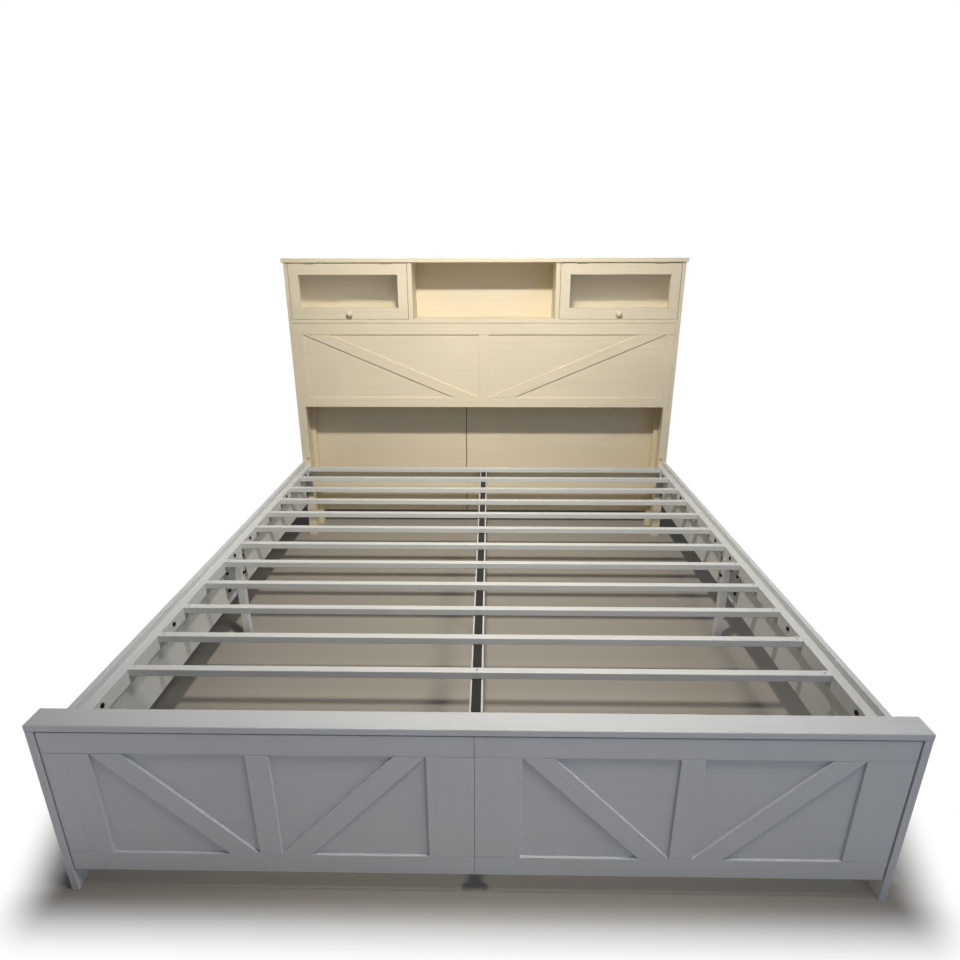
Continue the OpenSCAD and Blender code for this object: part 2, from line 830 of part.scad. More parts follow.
module foot_trim(side) {
    mid_x = (foot_panel_w - foot_mid_stile) / 2;
    stiles = [[0, foot_stile], [mid_x, foot_mid_stile], [foot_panel_w - foot_stile, foot_stile]];
    color(white) translate([side < 0 ? -hairline - foot_panel_w : hairline, foot_y + foot_inset, foot_clear])
        strip_frame(foot_panel_w, foot_panel_h, foot_rail_w, foot_rail_w, stiles, [1, -1]);
}

module foot_posts() {
    color(white) {
        both_sides() difference() {
            translate([post_x, foot_frame_y, foot_clear])
                board_z([post_w, foot_in - foot_frame_y, cap_low - foot_clear]);
            for (z = corner_bolt_z)
                translate([corner_bolt_x, foot_frame_y - 1, z]) rod_y(bolt_r + hole_air, foot_d);
        }
        translate([-seam_board_w / 2, foot_frame_y, foot_clear])
            board_z([seam_board_w, board_t, cross_low - foot_clear]);
    }
}

module foot_cross_rail() {
    color(white) difference() {
        translate([-post_x, foot_frame_y, cross_low]) board_x([2 * post_x, board_t, cap_low - cross_low]);
        hanger_holes(foot_frame_y + board_t, -1);
    }
}

// The side rails
module rail(side, at_head) {
    y0 = at_head ? mid_y + hairline : foot_in;
    l = mid_y - hairline - foot_in;
    color(white) on_side(side) difference() {
        translate([rail_in, y0, rail_low]) board_y([rail_t, l, rail_h], 1.6 * ease_r);
        for (p = concat([for (y = ledge_bolts) [y, ledge_bolt_z]], plate_bolts))
            translate([rail_in - 1, p[0], p[1]]) rod_x(bolt_r + hole_air, rail_bolt_reach + rail_hole_more);
    }
}

module rail_ledges() {
    l = mid_y - hairline - foot_in;
    color(white) both_sides() difference() {
        for (y = [foot_in, mid_y + hairline])
            translate([ledge_in, y, ledge_low]) board_y([ledge_w, l, ledge_h]);
        for (y = ledge_bolts)
            translate([ledge_in - 1, y, ledge_bolt_z]) rod_x(bolt_r + hole_air, ledge_w + 2);
        for (i = [0 : slat_n - 1]) translate([ledge_in - 1, slat_y(i), bracket_screw_z])
            rod_x(screw_r + hole_air, screw_l + 1);
    }
}

module corner_bracket(y0, away) {
    leg_y0 = away > 0 ? y0 : y0 - corner_leg;
    cap_y0 = away > 0 ? y0 : y0 - steel_t;
    difference() {
        union() {
            translate([rail_in - steel_t, leg_y0, plate_z]) cube([steel_t, corner_leg, plate_h]);
            translate([post_x, cap_y0, plate_z]) cube([rail_in - post_x, steel_t, plate_h]);
        }
        for (z = corner_bolt_z) {
            translate([corner_bolt_x, y0 - steel_t - 1, z]) rod_y(bolt_r + hole_air, 2 * steel_t + 2);
            translate([rail_in - steel_t - 1, y0 + away * (corner_leg - corner_bolt_in), z])
                rod_x(bolt_r + hole_air, steel_t + 2);
        }
    }
}

module corner_brackets() {
    color(zinc) both_sides() {
        corner_bracket(foot_in, 1);
        corner_bracket(head_y, -1);
    }
}

module rail_joint_plates() {
    color(zinc) both_sides() difference() {
        translate([rail_in - steel_t, mid_y - plate_l / 2, plate_z]) cube([steel_t, plate_l, plate_h]);
        for (p = concat(plate_bolts, [[mid_y, mid_leg_bolt_z]]))
            translate([rail_in - steel_t - 1, p[0], p[1]]) rod_x(bolt_r + hole_air, steel_t + 2);
    }
}

module mid_legs() {
    color(white) both_sides() difference() {
        translate([mid_leg_x, mid_y - mid_leg_w / 2, foot_pad])
            board_z([mid_leg_w, mid_leg_w, ledge_low - foot_pad]);
        translate([mid_leg_x - 1, mid_y, mid_leg_bolt_z]) rod_x(bolt_r + hole_air, mid_leg_w + 2);
    }
}

// Bolts: a round head, and a shank that lies in its holes
module bolt_into_x(x, y, z, l) {
    translate([x - bolt_head_h, y, z]) rod_x(bolt_head_r, bolt_head_h);
    translate([x - 1, y, z]) rod_x(bolt_r, l + 1);
}

module bolt_into_y(x, y, z, l, away) {
    translate([x, away > 0 ? y - bolt_head_h : y, z]) rod_y(bolt_head_r, bolt_head_h);
    translate([x, away > 0 ? y - 1 : y - l, z]) rod_y(bolt_r, l + 1);
}

module rail_bolts() {
    bolt_l = post_w;
    color(black) both_sides() {
        for (y = ledge_bolts) bolt_into_x(ledge_in, y, ledge_bolt_z, ledge_w + rail_bolt_reach);
        for (p = plate_bolts) bolt_into_x(rail_in - steel_t, p[0], p[1], steel_t + rail_bolt_reach);
        for (z = corner_bolt_z) {
            bolt_into_y(corner_bolt_x, foot_in + steel_t, z, bolt_l, -1);
            bolt_into_y(corner_bolt_x, head_y - steel_t, z, bolt_l, 1);
        }
        bolt_into_y(corner_bolt_x, head_y, post_bolt_z, bolt_l, 1);
    }
}

module mid_leg_bolts() {
    color(black) both_sides()
        bolt_into_x(mid_leg_x, mid_y, mid_leg_bolt_z, mid_leg_w + steel_t - 2 * hole_air);
}

// The centre beam, in two halves that meet over a steel plate
module centre_beam() {
    color(white) difference() {
        for (y = [[beam_foot_y, mid_y - hairline], [mid_y + hairline, beam_head_y]])
            translate([-beam_w / 2, y[0], beam_low]) board_y([beam_w, y[1] - y[0], beam_h]);
        for (y = tied_slats) translate([0, y, beam_z - screw_l])
            cylinder(r = screw_r + hole_air, h = screw_l + 1);
        for (y = beam_plates, e = [-1, 1])
            translate([0, y + e * (leg_plate_l / 2 - leg_screw_in), beam_low - 1])
                cylinder(r = screw_r + hole_air, h = screw_l + 1);
    }
}

module beam_tape() {
    color(black) difference() {
        translate([-tape_w / 2, beam_foot_y, beam_z]) cube([tape_w, beam_head_y - beam_foot_y, tape_t]);
        for (y = tied_slats) translate([0, y, beam_z - 1]) cylinder(r = screw_r + hole_air, h = tape_t + 2);
    }
}

// A hanger is a steel angle: a plate on the cross rail and a seat under the beam
module hanger(y, away) {
    low = beam_low - steel_t;
    width = beam_w + 2 * hanger_wing;
    difference() {
        union() {
            translate([-width / 2, away > 0 ? y : y - steel_t, low])
                cube([width, steel_t, beam_h - hanger_short]);
            translate([-beam_w / 2, away > 0 ? y : y - hanger_seat, low])
                cube([beam_w, hanger_seat, steel_t]);
        }
        for (x = [-hanger_screw_x, hanger_screw_x], z = hanger_screw_z)
            translate([x, y - steel_t - 1, z]) rod_y(screw_r + hole_air, 2 * steel_t + 2);
    }
}

module beam_hangers() {
    color(zinc) {
        hanger(foot_frame_y + board_t, 1);
        hanger(head_y, -1);
    }
}

module beam_legs() {
    tube_h = beam_low - steel_t - foot_pad;
    inner = leg_w - 2 * tube_wall;
    color(steel_white) {
        for (y = beam_plates) translate([-beam_w / 2, y - leg_plate_l / 2, beam_low - steel_t]) difference() {
            cube([beam_w, leg_plate_l, steel_t]);
            for (e = [leg_screw_in, leg_plate_l - leg_screw_in])
                translate([beam_w / 2, e, -1]) cylinder(r = screw_r + hole_air, h = steel_t + 2);
        }
        for (y = leg_places) translate([-leg_w / 2, y - leg_w / 2, foot_pad]) difference() {
            board_z([leg_w, leg_w, tube_h], leg_corner_r);
            translate([tube_wall, tube_wall, -1]) cube([inner, inner, tube_h + 1]);
        }
    }
}

// Plastic feet: a pad under the leg and a plug in the tube
module leg_feet() {
    plug = leg_w - 2 * tube_wall - 2 * leg_plug_play;
    color(black) {
        for (y = leg_places) translate([0, y, 0]) {
            translate([-leg_w / 2, -leg_w / 2, 0]) board_z([leg_w, leg_w, foot_pad], leg_corner_r);
            translate([-plug / 2, -plug / 2, foot_pad - 1]) cube([plug, plug, leg_plug_h + 1]);
        }
        both_sides() translate([mid_leg_x, mid_y - mid_leg_w / 2, 0])
            board_z([mid_leg_w, mid_leg_w, foot_pad], leg_corner_r);
    }
}

// A hole down through what is h thick, widened at the top for a countersunk head
module sunk_hole(h) {
    r = screw_r + hole_air;
    translate([0, 0, -1]) cylinder(r = r, h = h + 2);
    translate([0, 0, h - screw_sink]) cylinder(r1 = r, r2 = r + screw_sink + 1, h = screw_sink + 1);
}

// The slats are square tubes, screwed down at both ends
module slats() {
    inner = slat_w - 2 * tube_wall;
    color(steel_white) difference() {
        for (i = [0 : slat_n - 1]) translate([-slat_half, slat_y(i) - slat_w / 2, slat_low]) difference() {
            board_x([2 * slat_half, slat_w, slat_w], slat_corner_r);
            translate([-1, tube_wall, tube_wall]) cube([2 * slat_half + 2, inner, inner]);
            for (x = slat_screws_at) translate([slat_half + x, slat_w / 2, 0]) sunk_hole(slat_w);
        }
        for (y = tied_slats) translate([0, y, slat_low]) sunk_hole(slat_w);
    }
}

// An angle under each end of a slat, screwed to the ledge
module slat_brackets() {
    width = slat_w - 2;
    color(zinc) both_sides() for (i = [0 : slat_n - 1]) translate([ledge_in, slat_y(i), 0]) difference() {
        union() {
            translate([-slat_bracket_l, -width / 2, slat_low - slat_bracket_t])
                cube([slat_bracket_l, width, slat_bracket_t]);
            translate([-slat_bracket_t, -width / 2, ledge_low])
                cube([slat_bracket_t, width, slat_low - ledge_low]);
        }
        translate([-slat_screw_in - slat_play, 0, slat_low - slat_bracket_t - 1])
            cylinder(r = screw_r + hole_air, h = slat_bracket_t + 2);
        translate([-slat_bracket_t - 1, 0, bracket_screw_z]) rod_x(screw_r + hole_air, slat_bracket_t + 2);
    }
}

// A countersunk screw, flush with the slat that it ties down
module screw_down(x, y, z, l) {
    translate([x, y, z - screw_sink]) cylinder(r1 = screw_r, r2 = screw_head_r, h = screw_sink);
    translate([x, y, z - l]) cylinder(r = screw_r, h = l - screw_sink + 1);
}

// The other screws have a low round head

module screw_along_y(x, y, z, l, away) {
    translate([x, away > 0 ? y - screw_head_h : y, z]) rod_y(screw_head_r, screw_head_h);
    translate([x, away > 0 ? y - 1 : y - l, z]) rod_y(screw_r, l + 1);
}

module deck_screws() {
    through = slat_w + slat_bracket_t + 3;
    color(zinc) {
        for (i = [0 : slat_n - 1], x = slat_screws_at) screw_down(x, slat_y(i), deck_z, through);
        for (y = tied_slats) screw_down(0, y, deck_z, slat_w + tape_t + screw_l - 1);
        both_sides() for (i = [0 : slat_n - 1])
            translate([ledge_in - slat_bracket_t, slat_y(i), bracket_screw_z]) {
                translate([-screw_head_h, 0, 0]) rod_x(screw_head_r, screw_head_h);
                translate([-1, 0, 0]) rod_x(screw_r, screw_l + slat_bracket_t);
            }
        for (y = beam_plates, e = [-1, 1])
            translate([0, y + e * (leg_plate_l / 2 - leg_screw_in), beam_low - steel_t]) {
                translate([0, 0, -screw_head_h]) cylinder(r = screw_head_r, h = screw_head_h);
                translate([0, 0, -1]) cylinder(r = screw_r, h = screw_l + steel_t);
            }
        for (x = [-hanger_screw_x, hanger_screw_x], z = hanger_screw_z) {
            screw_along_y(x, beam_foot_y, z, steel_t + screw_l - 1, -1);
            screw_along_y(x, beam_head_y, z, steel_t + screw_l - 1, 1);
        }
    }
}

head_side(-1);  // head_side_left
head_side(1);  // head_side_right
head_top_board();
cabinet_floor();
cabinet_dividers();
cabinet_back();
cable_grommet();
head_panel_board();
head_panel_trim();
head_posts();
head_cross_rail();
back_panel_left();
back_panel_right();
back_seam_batten();
door_frame(-1);  // door_left_frame
door_glass(-1);  // door_left_glass
door_bead(-1);  // door_left_bead
door_knob(-1);  // door_left_knob
door_hinge_leaves(-1);  // door_left_hinge_leaves
door_frame(1);  // door_right_frame
door_glass(1);  // door_right_glass
door_bead(1);  // door_right_bead
door_knob(1);  // door_right_knob
door_hinge_leaves(1);  // door_right_hinge_leaves
cabinet_hinge_leaves();
hinge_pins();
stay_cabinet_brackets();
door_stay_bracket(-1);  // door_left_stay_bracket
door_stay_bracket(1);  // door_right_stay_bracket
stay_cylinder(-1);  // stay_left_cylinder
stay_rod(-1);  // stay_left_rod
stay_cylinder(1);  // stay_right_cylinder
stay_rod(1);  // stay_right_rod
foot_side(-1);  // foot_side_left
foot_side(1);  // foot_side_right
foot_cap();
foot_panel(-1);  // foot_panel_left
foot_panel(1);  // foot_panel_right
foot_trim(-1);  // foot_trim_left
foot_trim(1);  // foot_trim_right
foot_posts();
foot_cross_rail();
rail(-1, false);  // rail_left_foot
rail(-1, true);  // rail_left_head
rail(1, false);  // rail_right_foot
rail(1, true);  // rail_right_head
rail_ledges();
corner_brackets();
rail_joint_plates();
mid_legs();
centre_beam();
beam_tape();
beam_hangers();
beam_legs();
leg_feet();
slats();
slat_brackets();
deck_screws();
rail_bolts();
mid_leg_bolts();
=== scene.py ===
# %% [markdown]
# # A king-size bed with a storage headboard
# The bed is a knock-down piece: painted boards, steel slats and a few fittings. Its construction is already
# settled as a CAD frame of separate solids, so this lesson is about finish. It gives each part the surface
# that its maker gave it, and models anew the pieces whose look depends on how the wood lies: the applied
# strips, and the screws and bolts. Everything is in metres. +X is the bed's right, +Y runs from
# the foot to the head, and +Z is up.

# %% Load the frame
import math
import random

import bmesh
import bpy
from mathutils import Matrix, Vector


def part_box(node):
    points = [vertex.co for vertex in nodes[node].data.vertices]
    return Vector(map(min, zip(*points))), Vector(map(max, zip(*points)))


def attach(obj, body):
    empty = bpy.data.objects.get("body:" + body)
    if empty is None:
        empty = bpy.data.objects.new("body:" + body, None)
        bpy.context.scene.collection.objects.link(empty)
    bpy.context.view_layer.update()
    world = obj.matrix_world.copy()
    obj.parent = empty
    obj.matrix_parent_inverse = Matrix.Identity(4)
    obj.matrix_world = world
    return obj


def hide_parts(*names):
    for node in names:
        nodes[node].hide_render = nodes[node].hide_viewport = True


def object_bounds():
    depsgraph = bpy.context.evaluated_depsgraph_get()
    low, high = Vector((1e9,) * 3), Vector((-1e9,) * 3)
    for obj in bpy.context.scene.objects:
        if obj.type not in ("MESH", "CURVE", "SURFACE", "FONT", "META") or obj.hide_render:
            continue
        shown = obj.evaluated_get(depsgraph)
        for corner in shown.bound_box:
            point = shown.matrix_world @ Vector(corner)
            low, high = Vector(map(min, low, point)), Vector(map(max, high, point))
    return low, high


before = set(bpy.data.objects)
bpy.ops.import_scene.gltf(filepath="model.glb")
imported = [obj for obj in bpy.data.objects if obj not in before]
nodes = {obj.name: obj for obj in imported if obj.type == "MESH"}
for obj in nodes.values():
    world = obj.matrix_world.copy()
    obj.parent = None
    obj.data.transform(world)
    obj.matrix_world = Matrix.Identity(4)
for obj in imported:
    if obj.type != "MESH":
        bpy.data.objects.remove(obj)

cad_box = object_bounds()
random.seed(7)

# %% [markdown]
# ## Colours and a node helper
# Paint charts give sRGB values, and shaders want linear ones, so one function turns the first into the
# second. A material is a small graph. One helper adds a node, sets its properties, and then fills its
# sockets, either with a value or with a link from another node.

# %% Colour and node helpers
def linear(hex_colour):
    """An sRGB hex colour as linear RGBA."""
    channels = [int(hex_colour[i:i + 2], 16) / 255 for i in (1, 3, 5)]
    return [c / 12.92 if c <= 0.04045 else ((c + 0.055) / 1.055) ** 2.4 for c in channels] + [1.0]


def add(material, kind, sockets=None, **settings):
    """Adds a node of that kind, and sets or links the sockets named or numbered in sockets."""
    node = material.node_tree.nodes.new(kind)
    for name, value in settings.items():
        setattr(node, name, value)
    for key, value in (sockets or {}).items():
        if isinstance(value, bpy.types.NodeSocket):
            material.node_tree.links.new(value, node.inputs[key])
        else:
            node.inputs[key].default_value = value
    return node


def empty_material(name):
    """A material with no nodes yet."""
    material = bpy.data.materials.new(name)
    material.use_nodes = True
    material.node_tree.nodes.clear()
    return material


print("a mid grey in linear light:", [round(c, 3) for c in linear("#808080")])

# %% [markdown]
# ## Satin paint on embossed board
# The boards are fibreboard under a sprayed satin paint. The face is embossed with a fine wood grain, which
# the paint fills only in part: close to, it shows as shallow level lines a few millimetres apart and a hand
# long, with wider bands that the growth rings leave. Paint gathers in the pores, so they are a shade
# darker. The grain could be a picture, but noise stretched in one direction gives the same lines without
# one, at any size. A Mapping node of the Texture kind takes real sizes: its scale is the length and width
# of one grain line, and its rotation is the way the board was cut. So the same graph serves level, upright
# and slanted boards. A door's frame is one glued piece. Its level members run through and its uprights
# stand between them, so there the direction changes with height. The batten behind the niche's back is left
# bare, as a piece that nobody sees is, and takes the same graph with a brown. That brown is darker than bare
# board: it is partly painted shade, the shade deep in the seam, which shows as a dark line there. Two shares
# say how far the pores and the bands go towards the darker colour.

# %% Painted board
GRAIN_LINE = (0.240, 0.0065, 0.0065)
RING_BAND = (0.900, 0.0210, 0.0210)
SPRAY_CLOUD = (0.350, 0.350, 0.350)
GRAIN_DEPTH = 0.0005
PORE_SHARE, BAND_SHARE = 0.30, 0.14
THIN_COAT, THICK_COAT = 0.975, 1.02
SATIN_SMOOTH, SATIN_ROUGH = 0.42, 0.54
LEVEL = (0.0, 0.0, 0.0)
UPRIGHT = (0.0, -math.pi / 2, 0.0)
LENGTHWISE = (0.0, 0.0, math.pi / 2)


def painted_board(name, paint, pore, turn=LEVEL, uprights=None):
    """Satin paint over embossed grain in one direction, or upright between two heights of a frame."""
    material = empty_material(name)
    place = add(material, "ShaderNodeTexCoord").outputs["Object"]
    if uprights:
        height = add(material, "ShaderNodeSeparateXYZ", {0: place}).outputs["Z"]
        above = add(material, "ShaderNodeMath", {0: height, 1: uprights[0]}, operation="GREATER_THAN")
        below = add(material, "ShaderNodeMath", {0: height, 1: uprights[1]}, operation="LESS_THAN")
        between = add(material, "ShaderNodeMath", {0: above.outputs[0], 1: below.outputs[0]},
                      operation="MULTIPLY")
    noises = []
    for size in (GRAIN_LINE, RING_BAND):
        along = add(material, "ShaderNodeMapping", {"Vector": place, "Rotation": turn, "Scale": size},
                    vector_type="TEXTURE").outputs[0]
        if uprights:
            up = add(material, "ShaderNodeMapping", {"Vector": place, "Rotation": UPRIGHT, "Scale": size},
                     vector_type="TEXTURE").outputs[0]
            along = add(material, "ShaderNodeMix", {0: between.outputs[0], 4: along, 5: up},
                        data_type="VECTOR").outputs[1]
        noises.append(add(material, "ShaderNodeTexNoise", {"Vector": along, "Scale": 1.0, "Detail": 3.0,
                                                           "Roughness": 0.55, "Distortion": 0.25}))
    grain, rings = [noise.outputs[0] for noise in noises]
    pores = add(material, "ShaderNodeMapRange", {0: grain, 1: 0.50, 2: 0.74, 3: 0.0, 4: PORE_SHARE})
    bands = add(material, "ShaderNodeMapRange", {0: rings, 1: 0.40, 2: 0.70, 3: 0.0, 4: BAND_SHARE})
    gathered = add(material, "ShaderNodeMath", {0: pores.outputs[0], 1: bands.outputs[0]}, operation="ADD")
    tone = add(material, "ShaderNodeMix", {0: gathered.outputs[0], 6: linear(paint), 7: linear(pore)},
               data_type="RGBA")
    spot = add(material, "ShaderNodeMapping", {"Vector": place, "Scale": SPRAY_CLOUD}, vector_type="TEXTURE")
    cloud = add(material, "ShaderNodeTexNoise", {"Vector": spot.outputs[0], "Scale": 1.0, "Detail": 2.0})
    thick = add(material, "ShaderNodeMapRange",
                {0: cloud.outputs[0], 1: 0.3, 2: 0.7, 3: THIN_COAT, 4: THICK_COAT})
    colour = add(material, "ShaderNodeVectorMath", {0: tone.outputs[2], 1: thick.outputs[0]},
                 operation="MULTIPLY")
    relief = add(material, "ShaderNodeMath", {0: grain, 1: 0.6, 2: rings}, operation="MULTIPLY_ADD")
    bump = add(material, "ShaderNodeBump",
               {"Height": relief.outputs[0], "Strength": 0.30, "Distance": GRAIN_DEPTH})
    gloss = add(material, "ShaderNodeMapRange", {0: grain, 1: 0.35, 2: 0.7, 3: SATIN_SMOOTH, 4: SATIN_ROUGH})
    shader = add(material, "ShaderNodeBsdfPrincipled",
                 {"Base Color": colour.outputs[0], "Roughness": gloss.outputs[0], "IOR": 1.46,
                  "Normal": bump.outputs[0]})
    add(material, "ShaderNodeOutputMaterial", {"Surface": shader.outputs[0]})
    return material


# CREAM_AND_WARM_LIGHT is partly the paint's own tone and partly painted warm light, which falls on the
# headboard. The foot and the rails take WHITE.
CREAM_AND_WARM_LIGHT, CREAM_AND_WARM_LIGHT_PORE = "#E9DDC3", "#D4C6A6"
WHITE, WHITE_PORE = "#DFE1E0", "#D0D3D4"
cream_and_warm_light_level = painted_board("cream_satin_paint_and_warm_light_level", CREAM_AND_WARM_LIGHT, CREAM_AND_WARM_LIGHT_PORE)
cream_and_warm_light_upright = painted_board("cream_satin_paint_and_warm_light_upright", CREAM_AND_WARM_LIGHT, CREAM_AND_WARM_LIGHT_PORE, UPRIGHT)
white_level = painted_board("white_satin_paint_level", WHITE, WHITE_PORE)
white_upright = painted_board("white_satin_paint_upright", WHITE, WHITE_PORE, UPRIGHT)
white_lengthwise = painted_board("white_satin_paint_lengthwise", WHITE, WHITE_PORE, LENGTHWISE)
# The batten's dark brown is partly bare board and partly painted shade for the deep seam.
bare_board_and_seam_shade = painted_board("bare_brown_fibreboard_and_painted_seam_shade", "#5E4A34", "#48371F", UPRIGHT)
print("boards:", [m.name for m in bpy.data.materials if "satin" in m.name or "bare" in m.name])

# %% [markdown]
# ## Which board is cut which way
# A joiner lays the grain along a board's length. So side boards, dividers and posts have it upright,
# panels, caps and cross rails have it level, and the side rails have it lengthwise. The frame's nodes keep
# their shapes and only get the material.

# %% Dress the painted nodes
def dress(material, *names):
    """Gives CAD nodes a material. Their meshes stay as they are."""
    for name in names:
        for place in nodes[name].material_slots:
            place.material = material


# The headboard's cream carries painted warm light as well as the paint's tone.
dress(cream_and_warm_light_level, "head_top_board", "cabinet_floor", "cabinet_back", "head_panel_board", "head_cross_rail",
      "back_panel_left", "back_panel_right", "door_left_bead", "door_right_bead")
dress(cream_and_warm_light_upright, "head_side_left", "head_side_right", "cabinet_dividers", "head_posts")
# The batten's brown is partly painted shade: it makes the dark line in the seam.
dress(bare_board_and_seam_shade, "back_seam_batten")
dress(white_level, "foot_cap", "foot_panel_left", "foot_panel_right", "foot_cross_rail")
dress(white_upright, "foot_side_left", "foot_side_right", "foot_posts", "mid_legs")
dress(white_lengthwise, "rail_left_foot", "rail_left_head", "rail_right_foot", "rail_right_head",
      "rail_ledges", "centre_beam")

REBATE = 0.0075
glass_low, glass_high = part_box("door_left_glass")
# The doors' cream is partly paint and partly painted warm light as well.
door_paint = painted_board("cream_satin_paint_and_warm_light_door", CREAM_AND_WARM_LIGHT, CREAM_AND_WARM_LIGHT_PORE,
                           uprights=(glass_low.z + REBATE, glass_high.z - REBATE))
dress(door_paint, "door_left_frame", "door_right_frame")
print("a door's uprights stand between", [round(z, 3) for z in (glass_low.z + REBATE, glass_high.z - REBATE)])

# %% [markdown]
# ## Powder-coated steel
# The slats and the beam's legs are square steel tube under a white powder coat. Powder is baked, not
# sprayed wet: it flows a little and leaves a fine orange peel of about 3 mm. From where the bed is seen
# that would not show, so it is drawn at 6 mm.

# %% Powder-coated steel
PEEL = 0.006
PEEL_DEPTH = 0.0004
COAT_CLOUD = 0.2


def powder_coat(name, paint):
    """Baked powder on steel tube: even colour, a fine orange peel and a soft gloss."""
    material = empty_material(name)
    place = add(material, "ShaderNodeTexCoord").outputs["Object"]
    peel = add(material, "ShaderNodeTexNoise", {"Vector": place, "Scale": 1 / PEEL, "Detail": 2.0})
    cloud = add(material, "ShaderNodeTexNoise", {"Vector": place, "Scale": 1 / COAT_CLOUD, "Detail": 2.0})
    thick = add(material, "ShaderNodeMapRange", {0: cloud.outputs[0], 1: 0.3, 2: 0.7, 3: 0.96, 4: 1.02})
    colour = add(material, "ShaderNodeVectorMath", {0: linear(paint)[:3], 1: thick.outputs[0]},
                 operation="MULTIPLY")
    bump = add(material, "ShaderNodeBump",
               {"Height": peel.outputs[0], "Strength": 0.25, "Distance": PEEL_DEPTH})
    gloss = add(material, "ShaderNodeMapRange", {0: peel.outputs[0], 1: 0.3, 2: 0.7, 3: 0.28, 4: 0.38})
    shader = add(material, "ShaderNodeBsdfPrincipled",
                 {"Base Color": colour.outputs[0], "Roughness": gloss.outputs[0], "Normal": bump.outputs[0]})
    add(material, "ShaderNodeOutputMaterial", {"Surface": shader.outputs[0]})
    return material


slat_coat = powder_coat("white_powder_coated_steel", "#DDDEDA")
dress(slat_coat, "slats", "beam_legs")
print("made", slat_coat.name)

# %% [markdown]
# ## Plated and blackened steel
# Brackets and plates are zinc plated: a bright grey metal with cloudy patches where the bath left the
# plating thicker. The hinges are nickel plated and bronzed, a warm grey a little darker than the paint, so
# that they show as short lines over the doors. The stays' rods are ground and chromed, so they are
# smoother. The bolts in the posts are brass plated, and the others are black oxide, a thin matt layer. One
# graph serves all five: metal, with a cloudy roughness and tone.

# %% Metals
GRIT_PER_METRE = 900.0
GRIT_DEPTH = 0.0002


def plated_steel(name, light, dark, smooth, rough, patch):
    """Steel with a thin plating: cloudy patches of that size in metres, in tone and roughness."""
    material = empty_material(name)
    place = add(material, "ShaderNodeTexCoord").outputs["Object"]
    cloud = add(material, "ShaderNodeTexNoise", {"Vector": place, "Scale": 1 / patch, "Detail": 4.0})
    tone = add(material, "ShaderNodeMix", {0: cloud.outputs[0], 6: linear(light), 7: linear(dark)},
               data_type="RGBA")
    gloss = add(material, "ShaderNodeMapRange", {0: cloud.outputs[0], 1: 0.3, 2: 0.7, 3: smooth, 4: rough})
    grit = add(material, "ShaderNodeTexNoise", {"Vector": place, "Scale": GRIT_PER_METRE, "Detail": 1.0})
    bump = add(material, "ShaderNodeBump",
               {"Height": grit.outputs[0], "Strength": 0.12, "Distance": GRIT_DEPTH})
    shader = add(material, "ShaderNodeBsdfPrincipled",
                 {"Base Color": tone.outputs[2], "Metallic": 1.0, "Roughness": gloss.outputs[0],
                  "Normal": bump.outputs[0]})
    add(material, "ShaderNodeOutputMaterial", {"Surface": shader.outputs[0]})
    return material


zinc = plated_steel("zinc_plated_steel", "#C9CDD0", "#A4A8AB", smooth=0.28, rough=0.46, patch=0.012)
chrome = plated_steel("ground_chromed_rod", "#E2E4E6", "#CDD0D3", smooth=0.10, rough=0.18, patch=0.020)
nickel = plated_steel("bronzed_nickel_plated_steel", "#B5A88E", "#9A8E76", smooth=0.34, rough=0.48,
                      patch=0.012)
brass = plated_steel("brass_plated_steel", "#C9B48C", "#B39D74", smooth=0.32, rough=0.46, patch=0.008)
black_steel = plated_steel("black_oxide_steel", "#35332F", "#1D1C1A", smooth=0.36, rough=0.52, patch=0.010)
dress(zinc, "corner_brackets", "rail_joint_plates", "beam_hangers", "slat_brackets", "stay_cabinet_brackets",
      "door_left_stay_bracket", "door_right_stay_bracket")
dress(nickel, "cabinet_hinge_leaves", "door_left_hinge_leaves", "door_right_hinge_leaves", "hinge_pins")
dress(chrome, "stay_left_rod", "stay_right_rod")
print("metals:", [metal.name for metal in (zinc, chrome, nickel, brass, black_steel)])

# %% [markdown]
# ## Moulded, enamelled and foamed
# The stays' cylinders are steel under a black enamel, and the feet are moulded plastic with a fine
# spark-eroded texture. The slot's grommet is a cream moulding and the knobs are turned metal under a cream
# enamel, which is thick and rounds over the edges, so it takes a clear highlight. The tape on the beam is
# black foam, which quietens the slats: an open, matt surface full of small pits.

# %% Plastics, enamel and foam
CLOUDS_PER_METRE = 30.0
COAT_ROUGHNESS = 0.12


def moulded(name, paint, rough, grit, depth, coat=0.0):
    """A moulded or enamelled surface with a fine texture of grit metres and a slightly uneven tone."""
    material = empty_material(name)
    place = add(material, "ShaderNodeTexCoord").outputs["Object"]
    texture = add(material, "ShaderNodeTexNoise", {"Vector": place, "Scale": 1 / grit, "Detail": 3.0})
    cloud = add(material, "ShaderNodeTexNoise", {"Vector": place, "Scale": CLOUDS_PER_METRE, "Detail": 2.0})
    thick = add(material, "ShaderNodeMapRange", {0: cloud.outputs[0], 1: 0.3, 2: 0.7, 3: 0.93, 4: 1.05})
    colour = add(material, "ShaderNodeVectorMath", {0: linear(paint)[:3], 1: thick.outputs[0]},
                 operation="MULTIPLY")
    bump = add(material, "ShaderNodeBump", {"Height": texture.outputs[0], "Strength": 0.4, "Distance": depth})
    gloss = add(material, "ShaderNodeMapRange",
                {0: texture.outputs[0], 1: 0.3, 2: 0.7, 3: rough, 4: rough + 0.1})
    shader = add(material, "ShaderNodeBsdfPrincipled",
                 {"Base Color": colour.outputs[0], "Roughness": gloss.outputs[0], "Coat Weight": coat,
                  "Coat Roughness": COAT_ROUGHNESS, "Normal": bump.outputs[0]})
    add(material, "ShaderNodeOutputMaterial", {"Surface": shader.outputs[0]})
    return material


